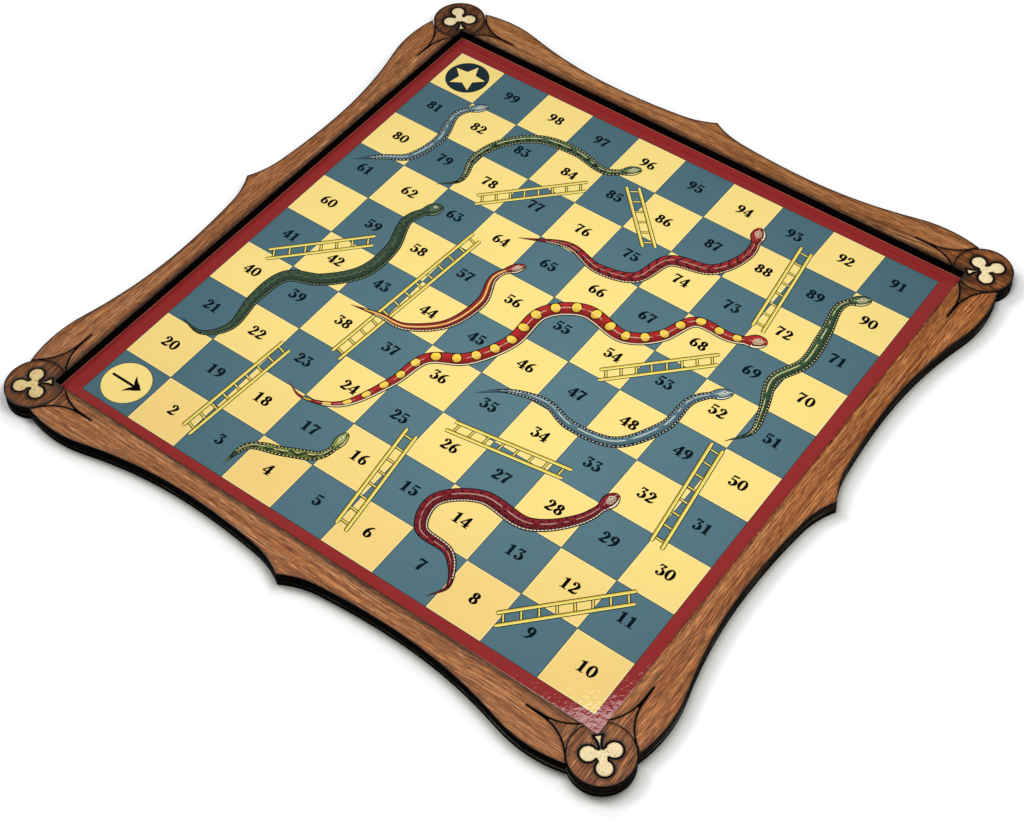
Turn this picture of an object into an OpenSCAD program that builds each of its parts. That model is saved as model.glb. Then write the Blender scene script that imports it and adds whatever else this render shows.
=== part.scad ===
// Snakes and ladders board, lying flat, in millimetres.
// X runs along the first row of squares, Y up the board and Z up from the table.
// The origin is under the middle of the board, on the table.
// The board is a thin base panel with a frame of four rails and four corner pieces on it.
// The printed sheet lies in the opening of the frame, and each corner piece holds a club inlay.

/* [Board] */
// Full width and depth, over the base panel
board_w = 300; // [280:1:340]
// Thickness of the base panel
base_t = 2.3; // [1.5:0.1:6]
// Thickness of the frame pieces on top of the base panel
frame_t = 4.7; // [3:0.1:10]
// How far the base panel stands out past the frame
base_lip = 0.3; // [0.1:0.05:1]

/* [Play sheet] */
// Width of the square opening in the frame
opening_w = 263.6; // [262:0.2:264.4]
// Thickness of the printed sheet
sheet_t = 0.4; // [0.2:0.05:1]
// Gap between the sheet and the frame, all round
sheet_gap = 0.1; // [0.05:0.05:0.5]

/* [Frame outline] */
// Radius of the round disc at each corner
disc_r = 12.2; // [11:0.1:12.6]
// Radius of the rounded shoulder at each end of a rail
shoulder_r = 56; // [52:1:60]
// Distance of a shoulder's crown from the middle of its rail
shoulder_x = 115; // [112:0.5:118]
// Distance of the waist, where a rail is narrowest, from the middle of the rail
waist_x = 50.4; // [46:0.2:54]
// How far the waist lies in from the shoulder's crown
waist_in = 8.6; // [7:0.1:9.5]
// Radius of the waist on the side of the rail's middle point
waist_r = 303; // [260:1:340]
// Distance from the middle at which the curve up to the point begins
point_x = 15.7; // [12:0.1:20]
// Radius of the curve up to the point
point_r = 40; // [35:1:50]

/* [Joints] */
// Width of the saw cut between two pieces
cut_w = 0.45; // [0.2:0.05:0.6]
// Distance from a disc's centre to the place where the two curved cuts meet in the rail
horn_len = 25.5; // [24:0.1:28]
// How far the tip of a horn is cut back from that place
horn_back = 3.5; // [3:0.1:5]
// How far the two cuts run on together into the rail
slot_len = 6.3; // [2:0.1:8]
// Width of the circle scored between a disc and its horns
score_w = 0.3; // [0.2:0.05:0.5]
// Depth of the scored circle
score_d = 0.4; // [0.2:0.05:1]

/* [Club inlays] */
// Radius of a lobe
lobe_r = 3.1; // [2.8:0.05:3.3]
// Distance of the outer lobe's centre from the middle of the club
lobe_far = 5.6; // [5.4:0.05:5.8]
// Sideways distance of a side lobe's centre from the middle of the club
lobe_side = 4.55; // [4.4:0.05:4.7]
// How far the side lobes' centres lie towards the stem
lobe_drop = 0.75; // [0:0.05:1.2]
// Width of the bars that join the lobes
bar_w = 3.2; // [2:0.1:3.6]
// Distance of the stem's foot from the middle of the club
stem_len = 7; // [6.5:0.1:7.4]
// Width of the stem's foot
stem_w = 3; // [2.4:0.1:3.4]
// Width of the stem at its neck
neck_w = 0.5; // [0.4:0.05:1]
// Radius of the hollow sides of the stem
stem_r = 8.6; // [8:0.1:10]

/* [Hidden] */
$fn = 180;

half_w = board_w / 2 - base_lip;
half_open = opening_w / 2;
disc_c = half_w - disc_r;

// A point at distance d from a, on the line from a to b
function along(a, b, d) = a + (b - a) * d / norm(b - a);

// Centres of the circles that make one half of a side, from the corner to the middle.
// Each circle touches the next one, so the outline has no kink before the middle point.
shoulder_c = [shoulder_x, half_w - shoulder_r];
waist_y = half_w - waist_in;
waist_c = [waist_x, waist_y + waist_r];
sweep_run = shoulder_x - waist_x;
sweep_rise = waist_y - shoulder_c.y;
sweep_r = (sweep_run ^ 2 + sweep_rise ^ 2 - shoulder_r ^ 2) / (2 * (shoulder_r - sweep_rise));
sweep_c = [waist_x, waist_y + sweep_r];
point_start = [point_x, waist_c.y - sqrt(waist_r ^ 2 - (waist_x - point_x) ^ 2)];
point_c = along(point_start, waist_c, point_r);

// The two curved cuts of a horn touch its disc, and meet on the line through the disc's centre
horn_r = (horn_len ^ 2 - disc_r ^ 2) / (2 * disc_r);
horn_x = disc_c - horn_len;

wood = "#a06c46";
dark_wood = "#7a4d30";
pale_wood = "#ecd9a6";
print_red = "#8c2a30";

// The part of a circle between two upright lines
module slice(centre, radius, from_x, to_x) {
    intersection() {
        translate(centre) circle(r = radius);
        translate([from_x, 0]) square([to_x - from_x, 2 * board_w]);
    }
}

// One whole side of the board as seen from above, facing +Y.
// grow moves its curved edge out, for the base panel.
module side_2d(grow = 0) {
    point_end = along(waist_c, point_start, waist_r - grow);
    sweep_end = along(sweep_c, shoulder_c, sweep_r - grow);
    overlap = 5;
    difference() {
        translate([-sweep_end.x, 0]) square([2 * sweep_end.x, board_w / 2 + overlap]);
        for (side = [0, 1]) mirror([side, 0]) {
            slice(point_c, point_r - grow, -overlap, point_end.x + overlap);
            slice(waist_c, waist_r - grow, point_end.x, waist_x);
            slice(sweep_c, sweep_r - grow, waist_x - overlap, sweep_end.x + overlap);
        }
    }
    for (side = [0, 1]) mirror([side, 0])
        slice(shoulder_c, shoulder_r + grow, sweep_end.x - overlap, disc_c);
}

// The horn that points from the disc towards -X, between its two curved cuts.
// grow widens it, for the cuts themselves, and back is how far its tip is cut off.
module horn_2d(grow = 0, back = 0) {
    reach = (disc_r + grow) * horn_r / (horn_r + disc_r);
    difference() {
        translate([horn_x + back, disc_c - reach]) square([horn_len - back, 2 * reach]);
        for (side = [-1, 1])
            translate([horn_x, disc_c + side * horn_r]) circle(r = horn_r - grow);
    }
}

// The corner piece at +X +Y: a disc with a horn along each rail
module corner_2d(grow = 0, back = 0) {
    translate([disc_c, disc_c]) circle(r = disc_r + grow);
    horn_2d(grow, back);
    mirror([1, -1]) horn_2d(grow, back);
}

// Everything that is cut away from the +X end of the rail at +Y.
// The two cuts run on together in a slot that narrows to the width of one.
module rail_end_2d() {
    corner_2d(cut_w);
    translate([horn_x, disc_c]) hull() {
        translate([cut_w / 2 - slot_len, 0]) circle(d = cut_w);
        translate([0, -cut_w]) square([1, 2 * cut_w]);
    }
}

// The line scored round the disc where the horns meet it
module score_2d() {
    intersection() {
        difference() {
            translate([disc_c, disc_c]) circle(r = disc_r + score_w / 2);
            translate([disc_c, disc_c]) circle(r = disc_r - score_w / 2);
        }
        union() {
            horn_reach_2d();
            mirror([1, -1]) horn_reach_2d();
        }
    }
}

// The box that a horn's root fills
module horn_reach_2d() {
    reach = disc_r * horn_r / (horn_r + disc_r);
    translate([horn_x, disc_c - reach]) square([horn_len / 2 + disc_r / 2, 2 * reach]);
}

// The club, with its stem towards -Y. grow widens it, for its hole in the corner piece.
module club_2d(grow = 0) {
    lobes = [[0, lobe_far], [-lobe_side, -lobe_drop], [lobe_side, -lobe_drop]];
    for (lobe = lobes) {
        translate(lobe) circle(r = lobe_r + grow);
        rotate(atan2(lobe.y, lobe.x)) translate([0, -bar_w / 2 - grow])
            square([norm(lobe), bar_w + 2 * grow]);
    }
    difference() {
        translate([-stem_w / 2 - grow, -stem_len - grow])
            square([stem_w + 2 * grow, stem_len + grow]);
        for (side = [-1, 1])
            translate([side * (neck_w / 2 + stem_r), -2.4]) circle(r = stem_r - grow);
    }
}

// Puts a club in the middle of the disc at +X +Y, with its stem towards the board's middle
module at_disc() {
    translate([disc_c, disc_c]) rotate(-45) children();
}

module base_panel() {
    color(dark_wood) linear_extrude(base_t) {
        square(2 * disc_c, center = true);
        for (turn = [0 : 90 : 270]) rotate(turn) {
            side_2d(base_lip);
            translate([disc_c, disc_c]) circle(r = disc_r + base_lip);
        }
    }
}

module play_sheet() {
    sheet_w = opening_w - 2 * sheet_gap;
    color(print_red) translate([0, 0, base_t + sheet_t / 2])
        cube([sheet_w, sheet_w, sheet_t], center = true);
}

// The rail at +Y, turned to its own side
module rail(turn) {
    color(wood) rotate(turn) translate([0, 0, base_t]) linear_extrude(frame_t)
        difference() {
            side_2d();
            translate([-board_w, half_open - board_w]) square([2 * board_w, board_w]);
            for (side = [0, 1]) mirror([side, 0]) rail_end_2d();
        }
}

// The corner piece at +X +Y, turned to its own corner
module corner(turn) {
    color(wood) rotate(turn) translate([0, 0, base_t]) difference() {
        linear_extrude(frame_t) difference() {
            corner_2d(0, horn_back);
            square(2 * half_open, center = true);
            at_disc() club_2d(cut_w);
        }
        translate([0, 0, frame_t - score_d]) linear_extrude(score_d + 1) score_2d();
    }
}

// The club at +X +Y, turned to its own corner
module club(turn) {
    color(pale_wood) rotate(turn) translate([0, 0, base_t]) linear_extrude(frame_t)
        at_disc() club_2d();
}

base_panel();
play_sheet();
rail(180);  // rail_front
rail(270);  // rail_right
rail(0);  // rail_back
rail(90);  // rail_left
corner(180);  // corner_front_left
corner(270);  // corner_front_right
corner(0);  // corner_back_right
corner(90);  // corner_back_left
club(180);  // club_front_left
club(270);  // club_front_right
club(0);  // club_back_right
club(90);  // club_back_left
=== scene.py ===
import bpy
import bmesh
import numpy as np
from functools import reduce
from math import cos, hypot, pi, radians, sin
from mathutils import Matrix, Vector
from mathutils.geometry import delaunay_2d_cdt


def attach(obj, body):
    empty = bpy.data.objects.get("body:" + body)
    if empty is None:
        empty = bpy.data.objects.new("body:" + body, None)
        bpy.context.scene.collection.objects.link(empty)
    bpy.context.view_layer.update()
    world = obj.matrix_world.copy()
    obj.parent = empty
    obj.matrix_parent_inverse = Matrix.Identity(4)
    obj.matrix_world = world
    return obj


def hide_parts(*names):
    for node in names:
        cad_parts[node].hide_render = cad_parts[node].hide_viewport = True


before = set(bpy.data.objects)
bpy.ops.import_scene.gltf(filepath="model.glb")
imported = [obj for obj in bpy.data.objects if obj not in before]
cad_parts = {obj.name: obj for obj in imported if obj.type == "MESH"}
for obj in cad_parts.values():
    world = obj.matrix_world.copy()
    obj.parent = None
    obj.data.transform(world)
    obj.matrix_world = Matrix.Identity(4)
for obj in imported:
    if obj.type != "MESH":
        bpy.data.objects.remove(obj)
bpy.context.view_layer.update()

# Sizes below are millimetres, the same as in the solids; the scene itself is in metres.
# X runs along the first row of squares, Y up the board, Z up from the table.
MM = 0.001
HALF_OPEN = 131.8
FRAME_TOP = 7.0
BASE_TOP = 2.3
SHEET_TOP = 2.7
SHEET_HALF = 131.7

HALF_W = 149.7
DISC_R = 12.2
DISC_C = HALF_W - DISC_R
DISC = (DISC_C, DISC_C)
SHOULDER_R, SHOULDER_X = 56.0, 115.0
WAIST_R, WAIST_X, WAIST_IN = 303.0, 50.4, 8.6
POINT_R, POINT_X = 40.0, 15.7
HORN_LEN = 25.5
HORN_R = (HORN_LEN ** 2 - DISC_R ** 2) / (2 * DISC_R)
SLOT_LEN = 6.3
CUT_W = 0.45
LOBE_R, LOBE_FAR, LOBE_SIDE, LOBE_DROP = 3.1, 5.6, 4.55, 0.75
STEM_LEN, STEM_W, NECK_W = 7.0, 3.0, 0.5
STEM_R, NECK_AT = 8.6, -2.4
# A club's middle and the bars out to its lobes, as circles: height up the club and radius
HUB_AT, HUB_R = 0.7, 2.4
FAR_BAR_AT, NEAR_BAR_AT, BAR_R = (0.0, 2.8), (2.2, -0.3), 1.75

# The print lies a touch askew on its sheet
SQUARE = 24.93
PRINT_AT = (0.44, -0.82)
PRINT_TURN = radians(0.314)
ROWS = 10

# The camera and picture
PICTURE_W = 1024
FOCAL_PIXELS = 1776.73
SENSOR = 36.0
TARGET = Vector((21.62, -33.66, 0.0))
DISTANCE = 701.05
AZIMUTH, ELEVATION, ROLL = radians(38.122), radians(51.637), radians(-1.621)


def rgb(red, green, blue):
    """A colour given as on a screen, 0 to 255, turned into Blender's linear colour."""
    parts = [v / 255 for v in (red, green, blue)]
    return tuple(v / 12.92 if v <= 0.04045 else ((v + 0.055) / 1.055) ** 2.4 for v in parts) + (1.0,)


# Formulas in shaders

def formula(operation, other_first=False):
    """A method of Val that works out the operation on the number and what else it is given."""
    def method(self, *other):
        return calc(operation, *other, self) if other_first else calc(operation, self, *other)
    return method


class Val:
    """A number inside a shader, for use in formulas."""

    def __init__(self, tree, out):
        self.tree = tree
        self.out = out

    __add__, __radd__ = formula("ADD"), formula("ADD", other_first=True)
    __sub__, __rsub__ = formula("SUBTRACT"), formula("SUBTRACT", other_first=True)
    __mul__, __rmul__ = formula("MULTIPLY"), formula("MULTIPLY", other_first=True)
    __truediv__ = formula("DIVIDE")
    __abs__ = formula("ABSOLUTE")
    __lt__, __gt__ = formula("LESS_THAN"), formula("GREATER_THAN")
    floor, fract = formula("FLOOR"), formula("FRACT")

    def clamp(self):
        return calc("MAXIMUM", calc("MINIMUM", self, 1.0), 0.0)


def feed(socket, value):
    """Link a Val into a socket, or set a plain number or colour on it."""
    if isinstance(value, Val):
        value.tree.links.new(value.out, socket)
    else:
        socket.default_value = value


def shader_node(tree, kind, output, inputs=(), **settings):
    """What a new shader node gives out. inputs are pairs of a socket and what is fed to it."""
    node = tree.nodes.new("ShaderNode" + kind)
    for name, value in settings.items():
        setattr(node, name, value)
    for socket, value in inputs:
        feed(node.inputs[socket], value)
    return Val(tree, node.outputs[output])


def calc(operation, *values):
    """The result of a mathematical operation on Vals and plain numbers."""
    tree = next(v.tree for v in values if isinstance(v, Val))
    return shader_node(tree, "Math", 0, enumerate(values), operation=operation)


def least(*values):
    return reduce(lambda one, two: calc("MINIMUM", one, two), values)


def most(*values):
    return reduce(lambda one, two: calc("MAXIMUM", one, two), values)


def apart(x, y):
    """The length of the step (x, y)."""
    return calc("SQRT", x * x + y * y)


def smooth(value, low, high):
    """0 where value is under low, 1 where it is over high, and a soft step between."""
    inputs = (("Value", value), ("From Min", low), ("From Max", high))
    return shader_node(value.tree, "MapRange", "Result", inputs, interpolation_type="SMOOTHSTEP")


def fading(value, low, high):
    """1 where value is under low, 0 where it is over high, and a soft step between."""
    return 1.0 - smooth(value, low, high)


def from_half(value, length=1.0):
    """For steps of this length along the value: 0 in the middle of each step, and 0.5 at its ends."""
    return abs((value / length).fract() - 0.5)


def choose(where, yes, no):
    """yes where the mask is 1, no where it is 0."""
    return where * yes + (1.0 - where) * no


def noise(x, y, z=0.0, detail=2.0, rough=0.5):
    """Soft noise from 0 to 1 with features about one unit wide."""
    place = shader_node(x.tree, "CombineXYZ", 0, enumerate((x, y, z)))
    inputs = (("Vector", place), ("Scale", 1.0), ("Detail", detail), ("Roughness", rough))
    return shader_node(x.tree, "TexNoise", "Fac", inputs)


def mix(where, under, over):
    """The colour under, with the colour over on it where the mask is 1."""
    # a Mix node takes its colours in the sockets 6 and 7, and gives the result in 2
    return shader_node(where.tree, "Mix", 2, ((0, where), (6, under), (7, over)), data_type="RGBA")


def scaled(colour, factor):
    """A colour made darker or lighter by a factor that varies over the surface."""
    colour = colour if isinstance(colour, Val) else colour[:3]
    return shader_node(factor.tree, "VectorMath", 0, ((0, colour), ("Scale", factor)), operation="SCALE")


def ramp(value, *stops):
    """A run of colours along the value: each stop is its place and its colour."""
    node = value.tree.nodes.new("ShaderNodeValToRGB")
    feed(node.inputs[0], value)
    band = node.color_ramp.elements
    while len(band) < len(stops):
        band.new(1.0)
    for element, (place, colour) in zip(band, stops):
        element.position = place
        element.color = colour
    return Val(value.tree, node.outputs[0])


def tinted(colour, tint):
    """A colour with its red, green and blue each scaled by their own share."""
    return tuple(part * share for part, share in zip(colour, tint)) + (1.0,)


class Paint:
    """A material under construction, with its colour so far and the place on the board in millimetres."""

    def __init__(self, name, colour=None):
        self.colour = colour
        self.made = bpy.data.materials.new(name)
        self.made.use_nodes = True
        self.tree = self.made.node_tree
        self.tree.nodes.clear()
        self.shader = self.tree.nodes.new("ShaderNodeBsdfPrincipled")
        output = self.tree.nodes.new("ShaderNodeOutputMaterial")
        self.tree.links.new(self.shader.outputs[0], output.inputs["Surface"])
        self.x, self.y, self.z = (v * (1 / MM) for v in self.split("TexCoord", "Object"))
        self.up = self.split("NewGeometry", "True Normal")[2]

    def split(self, kind, output, **settings):
        """The three parts of the vector that a new node gives out."""
        node = self.tree.nodes.new("ShaderNodeSeparateXYZ")
        feed(node.inputs[0], shader_node(self.tree, kind, output, **settings))
        return [Val(self.tree, part) for part in node.outputs]

    def over(self, where, colour):
        """Lay a colour over the one so far, where the mask is 1."""
        self.colour = mix(where, self.colour, colour)

    def shade(self, factor):
        self.colour = scaled(self.colour, factor)

    def cloud(self, size, seed, detail=2.0, rough=0.5):
        """Noise over the board, with blotches of this size in millimetres."""
        return noise(self.x / size, self.y / size, seed, detail, rough)

    def finish(self, rough, specular=0.5, height=None):
        """Set the colour and gloss; height is the relief in millimetres."""
        feed(self.shader.inputs["Base Color"], self.colour)
        feed(self.shader.inputs["Roughness"], rough)
        feed(self.shader.inputs["Specular IOR Level"], specular)
        if height is not None:
            inputs = (("Strength", 1.0), ("Distance", MM), ("Height", height))
            feed(self.shader.inputs["Normal"], shader_node(self.tree, "Bump", 0, inputs))
        return self.made


# Distances on the board's plan, for the burnt edges

def along(start, end, far):
    """A point at distance far from start on the line to end."""
    return Vector(start) + (Vector(end) - Vector(start)).normalized() * far


WAIST_Y = HALF_W - WAIST_IN
SHOULDER = (SHOULDER_X, HALF_W - SHOULDER_R)
SWEEP_RUN, SWEEP_RISE = SHOULDER_X - WAIST_X, WAIST_Y - SHOULDER[1]
SWEEP_R = (SWEEP_RUN ** 2 + SWEEP_RISE ** 2 - SHOULDER_R ** 2) / (2 * (SHOULDER_R - SWEEP_RISE))
SWEEP = (WAIST_X, WAIST_Y + SWEEP_R)
SWEEP_END = along(SWEEP, SHOULDER, SWEEP_R)
WAIST = (WAIST_X, WAIST_Y + WAIST_R)
POINT_START = (POINT_X, WAIST[1] - (WAIST_R ** 2 - (WAIST_X - POINT_X) ** 2) ** 0.5)
POINT = along(POINT_START, WAIST, POINT_R)


def folded(paint):
    """The place on the board, folded onto one half side: along the side, and outwards."""
    across, up = abs(paint.x), abs(paint.y)
    return least(across, up), most(across, up)


def on_far_sides(paint):
    """A mask for the half of the board at its back and left sides."""
    return paint.y - paint.x > 0.0


def from_circle(side, out, centre, radius):
    """Distance outside a circle, and under 0 inside it."""
    return apart(side - centre[0], out - centre[1]) - radius


def to_outline(side, out):
    """Distance in from the curved outer edge of a rail."""
    shoulder = -1.0 * from_circle(side, out, SHOULDER, SHOULDER_R)
    sweep = from_circle(side, out, SWEEP, SWEEP_R)
    waist = from_circle(side, out, WAIST, WAIST_R)
    point = from_circle(side, out, POINT, POINT_R)
    found = choose(side > SWEEP_END.x, shoulder, sweep)
    found = choose(side < WAIST_X, waist, found)
    return choose(side < POINT_X, point, found)


def to_opening(side, out):
    """Distance from the square opening in the frame."""
    return apart(most(side - HALF_OPEN, 0.0), out - HALF_OPEN)


def to_cuts(side, out):
    """Distance from the curved cuts on both sides of a horn, and from the slot at its tip."""
    bow = CUT_W / 2
    horn_x = DISC_C - HORN_LEN
    arcs = [from_circle(side, out, (horn_x, DISC_C + turn * HORN_R), HORN_R - bow) for turn in (-1, 1)]
    nearest = least(*[choose(side > horn_x, abs(arc) - bow, 99.0) for arc in arcs])
    mid = abs(side - (horn_x - SLOT_LEN / 2)) - SLOT_LEN / 2
    half_slot = CUT_W - (horn_x - side) * (CUT_W / 2 / SLOT_LEN)
    slot = apart(most(mid, 0.0), most(abs(out - DISC_C) - half_slot, 0.0))
    return most(least(nearest, slot), 0.0)


def club_place(side, out):
    """The place in a club's own frame: sideways from its middle line, and away from its stem."""
    turn = 0.5 ** 0.5
    step_x, step_y = side - DISC_C, out - DISC_C
    return abs(step_x - step_y) * turn, (step_x + step_y) * turn


def to_stem(side, out):
    """Distance outside the stem of a club, and under 0 inside it."""
    sideways, up = club_place(side, out)
    hollow = STEM_R - apart(sideways - (NECK_W / 2 + STEM_R), up - NECK_AT)
    return most(hollow, sideways - STEM_W / 2, up, -STEM_LEN - up)


def to_club(side, out):
    """Distance outside a club inlay, and under 0 inside it."""
    sideways, up = club_place(side, out)
    far = from_circle(sideways, up, (0.0, LOBE_FAR), LOBE_R)
    near = from_circle(sideways, up, (LOBE_SIDE, -LOBE_DROP), LOBE_R)
    middle = from_circle(sideways, up, (0.0, HUB_AT), HUB_R)
    far_bar = from_circle(sideways, up, FAR_BAR_AT, BAR_R)
    near_bar = from_circle(sideways, up, NEAR_BAR_AT, BAR_R)
    return least(far, near, middle, far_bar, near_bar, to_stem(side, out))


# Wood

CHAR = rgb(14, 10, 8)
SCORCH = rgb(30, 17, 11)
STAIN = [
    (0.24, rgb(92, 51, 28)),
    (0.39, rgb(130, 78, 44)),
    (0.52, rgb(160, 104, 64)),
    (0.64, rgb(184, 127, 84)),
    (0.80, rgb(222, 170, 130)),
]
CORNER_CONTRAST = 2.9


def with_grain(paint, lengthwise):
    """The place along the grain, and the place across it."""
    return (paint.x, paint.y) if lengthwise == "x" else (paint.y, paint.x)


def stained(paint, lengthwise, seed, tint, contrast):
    """Colour the paint as stained wood with its grain along X or Y. Returns its relief in millimetres."""
    run, across = with_grain(paint, lengthwise)
    across = across + (noise(run / 70, across / 30, seed, detail=1.0) - 0.5) * 7.0

    def grain(long, wide, step, detail=1.0, rough=0.5):
        """Noise with marks of this length along the grain and this width across it, in millimetres."""
        return noise(run / long, across / wide, seed + step, detail, rough)

    bands = grain(120, 3.0, 3.0, detail=3.0, rough=0.6)
    streaks = grain(40, 0.75, 9.0, detail=3.0, rough=0.65)
    fibres = grain(6.5, 0.36, 17.0, detail=3.0, rough=0.7)
    pale = grain(60, 0.6, 27.0)
    pores = grain(2.2, 0.4, 41.0)
    patch = grain(15, 2.4, 51.0)
    grit = grain(5.5, 0.6, 61.0)

    tone = 0.5 + (bands * 0.28 + streaks * 0.36 + fibres * 0.36 - 0.5) * contrast
    paint.colour = ramp(tone, *[(place, tinted(shade, tint)) for place, shade in STAIN])
    light = smooth(pale, 0.60, 0.70) * smooth(fibres, 0.36, 0.54)
    paint.over(light * 0.62, tinted(rgb(228, 180, 148), tint))
    paint.over(smooth(patch, 0.66, 0.76) * 0.4, tinted(rgb(138, 66, 36), tint))
    paint.over(smooth(pores, 0.66, 0.78) * 0.65, tinted(rgb(78, 40, 22), tint))
    paint.over(smooth(pores, 0.36, 0.24) * 0.5, tinted(rgb(226, 178, 142), tint))
    paint.shade(1.0 + (grit - 0.5) * contrast)
    return fibres * 0.014 + streaks * 0.01 - smooth(pores, 0.62, 0.8) * 0.02


def smoke_marks(paint, lengthwise, seed, reach):
    """How ragged a burn's edge is, from -0.5 to 0.5, and how thick the smoke is. reach is how far
    the smoke runs from the opening."""
    side, out = folded(paint)
    ragged = paint.cloud(2.4, seed + 5.0, detail=3.0, rough=0.65) - 0.5
    run, across = with_grain(paint, lengthwise)
    streak = noise(run / 16, across / 0.6, seed + 8.0)
    drift = noise(run / 35, across / 35, seed + 6.0, detail=1.0)
    far = to_opening(side, out) + ragged * 2.0 + (streak - 0.5) * 1.6
    return ragged, (1.0 - far / (reach * (drift + 0.55))).clamp()


def near_corner_line(paint, side, out):
    """A painted highlight: the thin pale line along the frame's inner edge, which fades away from the near
    corner.
    """
    to_corner = apart(paint.x - HALF_OPEN, (paint.y + HALF_OPEN) * 2.0)
    return fading(to_corner, 14.0, 75.0) * fading(to_opening(side, out), 0.22, 0.42)


def edged(paint, relief, edge, rim, ragged, smoke):
    """Burn the wood along its cuts, its outer rim and where the smoke lies, and finish the paint."""
    side, out = folded(paint)
    black = fading(edge + ragged * 0.25, 0.05, 0.3)
    burnt = fading(rim + ragged * 0.4, 0.1, 0.95)
    # the outer rim is burnt brown along the two far sides, and black along the near ones
    char = mix(burnt * on_far_sides(paint), CHAR, rgb(46, 22, 6))
    paint.over(smoke, SCORCH)
    paint.over(most(black, burnt) * 0.92, char)
    paint.over(fading(paint.up, 0.35, 0.8), CHAR)
    # painted highlight: a pale pink line along the inner edge, brightest by the near corner
    line = near_corner_line(paint, side, out) * (paint.up > 0.3)
    paint.over(line * 0.75, rgb(222, 168, 160))
    return paint.finish(0.52, specular=0.2, height=relief)


def rail_paint(name, lengthwise, seed, reach, tint, contrast):
    """Stained wood, burnt along the cuts. reach is how far the smoke runs in from the opening."""
    paint = Paint(name)
    relief = stained(paint, lengthwise, seed, tint, contrast)
    side, out = folded(paint)
    cuts = to_cuts(side, out)
    ragged, smoke = smoke_marks(paint, lengthwise, seed, reach)
    halo = fading(cuts + ragged, 0.0, 1.1) * 0.5
    # the two near sides are burnt a little less at the rim than the two far ones
    rim = to_outline(side, out) + 0.3 - on_far_sides(paint) * 0.52
    rim_soot = fading(rim + ragged * 0.8, 0.0, 3.0) * 0.35
    return edged(paint, relief, cuts, rim, ragged, most(smoke * 0.96, halo, rim_soot))


def corner_paint(name, lengthwise, seed, reach, tint, horns, soot):
    """A corner piece: horns are how bright the horns along X and Y are, beside the disc."""
    paint = Paint(name)
    relief = stained(paint, lengthwise, seed, tint, CORNER_CONTRAST)
    side, out = folded(paint)
    from_disc = from_circle(side, out, DISC, DISC_R)
    along_x = smooth(abs(paint.y) - abs(paint.x), -1.0, 1.0)
    paint.shade(choose(smooth(from_disc, -0.3, 0.3), choose(along_x, *horns), 1.0))
    ragged, smoke = smoke_marks(paint, lengthwise, seed, reach)
    cuts = to_cuts(side, out)
    gap = to_club(side, out) - CUT_W
    halo = fading(gap + ragged * 2.0, 0.0, 1.9) * (soot * 0.6 + 0.55)
    stem_soot = fading(to_stem(side, out) - CUT_W + ragged * 0.8, 0.3, 1.3) * 0.85
    rim_soot = fading(abs(from_disc) + ragged * 0.6, 0.2, 2.0) * soot
    cut_soot = fading(cuts + ragged * 0.8, 0.0, 1.1) * soot
    edge = least(abs(from_disc) - 0.1, cuts, gap - 0.15)
    rim = abs(from_disc) + (0.5 - soot) * 1.6 + (out < DISC_C + 4.0) * 2.0
    smoke = most(smoke * 0.96, halo, stem_soot, rim_soot, cut_soot)
    return edged(paint, relief, edge, rim, ragged, smoke)


def char_paint(name, seed, brown):
    """The black of a burnt cut edge, with fine upright lines and some brown where its layers show."""
    paint = Paint(name)
    turn = paint.x * 0.8 + paint.y
    lines = noise(turn / 0.5, paint.z / 7, seed + 2.0)
    layers = noise(turn / 30, paint.z / 1.1, seed + 12.0)
    tone = lines * 0.4 + layers * 0.6
    paint.colour = ramp(tone, (0.42, rgb(7, 6, 5)), (0.55, rgb(14, 10, 7)), (0.70, rgb(34, 25, 16)))
    paint.shade((smooth(layers, 0.42, 0.62) * 1.6 + 0.5) * brown)
    return paint.finish(0.85, specular=0.02, height=lines * 0.02)


def base_paint():
    """The base panel: sooty on top, with a grey line along its lip that is partly ash and partly a painted
    highlight.
    """
    paint = Paint("sooty_base", CHAR)
    patchy = paint.cloud(20, 4.0, detail=3.0)
    dust = paint.cloud(0.8, 9.0, detail=3.0)
    ash_and_highlight = ramp(
        smooth(patchy, 0.42, 0.68) * 0.7 + dust * 0.3,
        (0.1, rgb(16, 14, 12)),
        (0.5, rgb(62, 58, 52)),
        (0.9, rgb(126, 122, 114)),
    )
    side, out = folded(paint)
    lip = smooth(0.35 - to_outline(side, out), 0.0, 0.2)
    disc_lip = smooth(from_circle(side, out, DISC, DISC_R - 0.35), 0.0, 0.2)
    by_disc = smooth(side, 111.0, 126.0) > 0.5
    # the lip's grey line: ash, with a painted highlight where the lip's top catches the light
    paint.over(choose(by_disc, most(lip, disc_lip), lip), ash_and_highlight)
    return paint.finish(0.6, specular=0.2, height=dust * 0.01)


def club_paint(corner, seed, tint, toast):
    """Pale wood with toasted patches, and a burnt rim. toast is how much of it is browned."""
    paint = Paint("pale_inlay_" + corner)
    side, out = folded(paint)
    depth = -1.0 * to_club(side, out)
    run, across = paint.x + paint.y, paint.x - paint.y
    fibres = noise(run / 3.5, across / 0.3, seed + 2.0, detail=3.0, rough=0.6)
    blotch = paint.cloud(1.9, seed + 5.0, detail=3.0, rough=0.65)
    paint.colour = ramp(
        fibres * 0.5 + blotch * 0.5,
        (0.38, tinted(rgb(222, 190, 128), tint)),
        (0.47, tinted(rgb(244, 222, 174), tint)),
        (0.58, tinted(rgb(254, 242, 206), tint)),
    )
    toasted = smooth(blotch, 0.62 - toast * 0.3, 0.80 - toast * 0.3)
    paint.over(toasted * 0.75, rgb(198, 154, 84))
    paint.over(fading(depth + (blotch - 0.5) * 0.9, 0.05, 0.65) * 0.85, rgb(96, 60, 30))
    slim = smooth(club_place(side, out)[1], -1.0, -3.0) * 0.07
    paint.over(fading(depth - slim, 0.12, 0.26), SCORCH)
    return paint.finish(0.6, specular=0.2, height=fibres * 0.012)


# The printed sheet

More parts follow.
